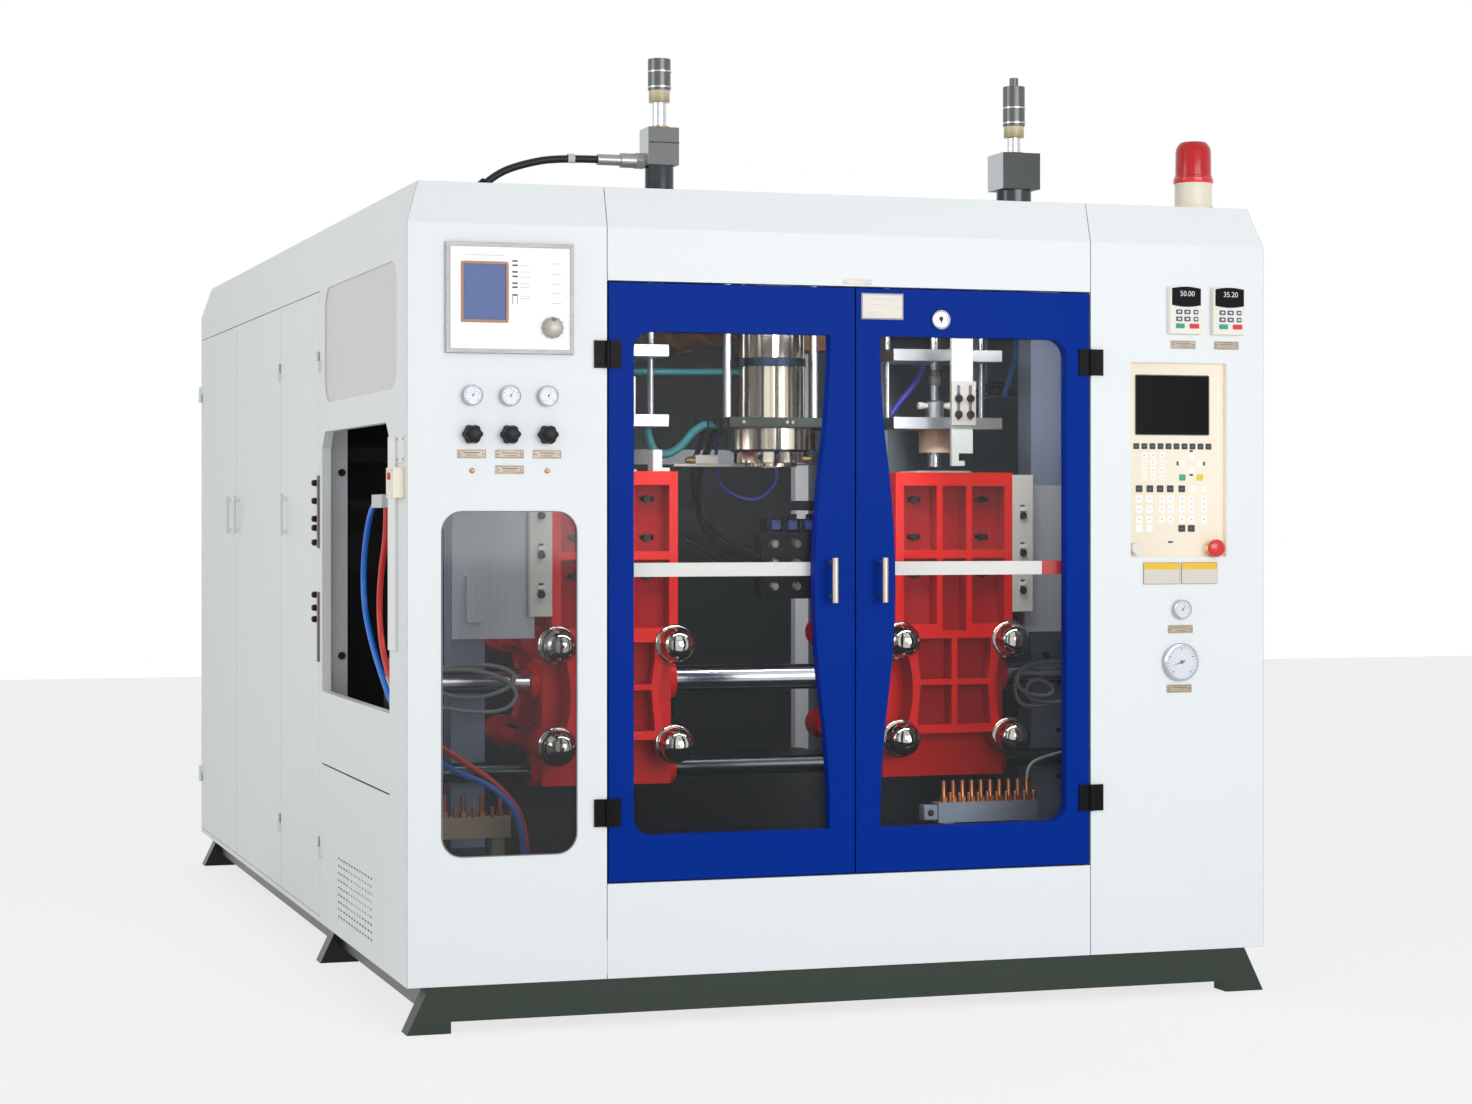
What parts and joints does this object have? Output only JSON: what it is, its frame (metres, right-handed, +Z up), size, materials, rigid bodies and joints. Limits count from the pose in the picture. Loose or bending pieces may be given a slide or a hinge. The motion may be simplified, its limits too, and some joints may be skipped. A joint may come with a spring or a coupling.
{
  "type": "blow moulding machine",
  "caption": "Twin station extrusion blow moulding machine in a white cabinet with blue glazed doors, red ribbed mould clamps on shafts, a central die head and blow pins driven from the roof.",
  "frame": {"origin": "on the floor, under the middle of the machine's width and of its depth over the door handles", "axes": "+Z up; -Y towards the operator in front of the glazed doors; +X to the operator's right, seen from the front"},
  "size_m": [2.026, 3.28, 2.091],
  "materials": {
    "cabinet_white": "satin powder coat",
    "door_blue": "gloss powder coat",
    "casting_red": "gloss enamel",
    "frame_dark": "satin enamel",
    "frame_grey": "satin enamel",
    "tank_green": "satin enamel",
    "arm_grey": "satin enamel",
    "shaft_chrome": "hard chrome, ground",
    "lock_chrome": "polished",
    "machined_steel": "machined",
    "mould_aluminium": "machined",
    "brushed_plate": "brushed",
    "clear_pane": "clear",
    "grey_pane": "grey tint",
    "hinge_black": "satin",
    "knob_black": "moulded",
    "instrument_dark": "moulded",
    "white_plastic": "moulded",
    "panel_cream": "satin film",
    "gauge_steel": "plain",
    "beacon_red": "clear moulded",
    "stop_red": "moulded",
    "hose_black": "smooth",
    "hose_red": "smooth",
    "hose_blue": "smooth"
  },
  "bodies": {
    "cabinet": {"base_frame": "frame_dark", "machine_frame": "frame_grey", "slide_shafts": "shaft_chrome", "front_left_panel": "cabinet_white", "front_right_panel": "cabinet_white", "header_panel": "cabinet_white", "sill_panel": "cabinet_white", "left_side_panel": "cabinet_white", "right_side_panel": "cabinet_white", "rear_panel": "cabinet_white", "roof_panel": "cabinet_white", "window_panes": "grey_pane", "hinge_pins": "hinge_black", "parison_controller": "instrument_dark", "pressure_gauges": "gauge_steel", "nameplates": "brushed_plate", "drive_keypads": "instrument_dark", "operator_panel": "panel_cream", "hatch_fittings": "white_plastic", "beacon": "beacon_red", "blow_stations": "machined_steel", "die_head": "machined_steel", "extruder": "frame_grey", "water_manifolds": "machined_steel", "hydraulic_unit": "tank_green", "air_valves": "machined_steel", "roof_hose": "hose_black", "red_hose": "hose_red", "blue_hose": "hose_blue"},
    "left_door": {"left_door": "door_blue", "left_door_pane": "clear_pane", "left_door_fittings": "white_plastic"},
    "right_door": {"right_door": "door_blue", "right_door_pane": "clear_pane", "right_door_fittings": "white_plastic"},
    "door_lock": {"door_lock": "lock_chrome"},
    "cabinet_door_1": {"cabinet_door_1": "cabinet_white"},
    "cabinet_door_2": {"cabinet_door_2": "cabinet_white"},
    "cabinet_door_3": {"cabinet_door_3": "cabinet_white"},
    "parison_dial": {"parison_dial": "knob_black"},
    "regulator_knob_1": {"regulator_knob_1": "knob_black"},
    "regulator_knob_2": {"regulator_knob_2": "knob_black"},
    "regulator_knob_3": {"regulator_knob_3": "knob_black"},
    "stop_button": {"stop_button": "stop_red"},
    "left_carriage": {"left_carriage": "casting_red"},
    "left_front_clamp": {"left_front_platen": "casting_red", "left_front_mould": "mould_aluminium", "left_clamp_frame": "casting_red", "left_side_plate": "arm_grey"},
    "left_rear_clamp": {"left_rear_platen": "casting_red", "left_rear_mould": "mould_aluminium"},
    "left_blow_pin": {"left_blow_pin": "shaft_chrome"},
    "right_carriage": {"right_carriage": "casting_red"},
    "right_front_clamp": {"right_front_platen": "casting_red", "right_front_mould": "mould_aluminium", "right_clamp_frame": "casting_red", "right_side_plate": "arm_grey"},
    "right_rear_clamp": {"right_rear_platen": "casting_red", "right_rear_mould": "mould_aluminium"},
    "right_blow_pin": {"right_blow_pin": "shaft_chrome"}
  },
  "joints": [
    {"name": "left_door_hinge", "type": "hinge", "parent": "cabinet", "child": "left_door", "pos_m": [-0.565, -1.606, 0.95], "axis": [0, 0, 1], "range_deg": [-110, 0]},
    {"name": "right_door_hinge", "type": "hinge", "parent": "cabinet", "child": "right_door", "pos_m": [0.565, -1.606, 0.95], "axis": [0, 0, 1], "range_deg": [0, 110]},
    {"name": "door_lock_turn", "type": "hinge", "parent": "right_door", "child": "door_lock", "pos_m": [0.2, -1.6, 1.527], "axis": [0, 1, 0], "range_deg": [-90, 0]},
    {"name": "cabinet_door_1_hinge", "type": "hinge", "parent": "cabinet", "child": "cabinet_door_1", "pos_m": [-1.006, -0.527, 0.95], "axis": [0, 0, 1], "range_deg": [0, 100]},
    {"name": "cabinet_door_2_hinge", "type": "hinge", "parent": "cabinet", "child": "cabinet_door_2", "pos_m": [-1.006, 0.073, 0.95], "axis": [0, 0, 1], "range_deg": [0, 100]},
    {"name": "cabinet_door_3_hinge", "type": "hinge", "parent": "cabinet", "child": "cabinet_door_3", "pos_m": [-1.006, 1.618, 0.95], "axis": [0, 0, 1], "range_deg": [-100, 0]},
    {"name": "left_carriage_slide", "type": "slide", "parent": "cabinet", "child": "left_carriage", "axis": [1, 0, 0], "range_m": [0, 0.42]},
    {"name": "left_front_clamp_slide", "type": "slide", "parent": "left_carriage", "child": "left_front_clamp", "axis": [0, -1, 0], "range_m": [0, 0.1]},
    {"name": "left_rear_clamp_slide", "type": "slide", "parent": "left_carriage", "child": "left_rear_clamp", "axis": [0, 1, 0], "range_m": [0, 0.1]},
    {"name": "left_blow_pin_slide", "type": "slide", "parent": "cabinet", "child": "left_blow_pin", "axis": [0, 0, -1], "range_m": [0, 0.032]},
    {"name": "right_carriage_slide", "type": "slide", "parent": "cabinet", "child": "right_carriage", "axis": [1, 0, 0], "range_m": [-0.42, 0]},
    {"name": "right_front_clamp_slide", "type": "slide", "parent": "right_carriage", "child": "right_front_clamp", "axis": [0, -1, 0], "range_m": [0, 0.1]},
    {"name": "right_rear_clamp_slide", "type": "slide", "parent": "right_carriage", "child": "right_rear_clamp", "axis": [0, 1, 0], "range_m": [0, 0.1]},
    {"name": "right_blow_pin_slide", "type": "slide", "parent": "cabinet", "child": "right_blow_pin", "axis": [0, 0, -1], "range_m": [0, 0.032]},
    {"name": "stop_button_press", "type": "slide", "parent": "cabinet", "child": "stop_button", "axis": [0, 1, 0], "range_m": [0, 0.005], "stiffness_N_per_m": 1500},
    {"name": "parison_dial_turn", "type": "hinge", "parent": "cabinet", "child": "parison_dial", "pos_m": [-0.689, -1.6, 1.492], "axis": [0, 1, 0], "continuous": true},
    {"name": "regulator_knob_1_turn", "type": "hinge", "parent": "cabinet", "child": "regulator_knob_1", "pos_m": [-0.862, -1.6, 1.2645], "axis": [0, 1, 0], "continuous": true},
    {"name": "regulator_knob_2_turn", "type": "hinge", "parent": "cabinet", "child": "regulator_knob_2", "pos_m": [-0.78, -1.6, 1.2645], "axis": [0, 1, 0], "continuous": true},
    {"name": "regulator_knob_3_turn", "type": "hinge", "parent": "cabinet", "child": "regulator_knob_3", "pos_m": [-0.698, -1.6, 1.2645], "axis": [0, 1, 0], "continuous": true}
  ],
  "couplings": [
    {"joint": "left_rear_clamp_slide", "follows": "left_front_clamp_slide", "ratio": 1},
    {"joint": "right_rear_clamp_slide", "follows": "right_front_clamp_slide", "ratio": 1}
  ]
}
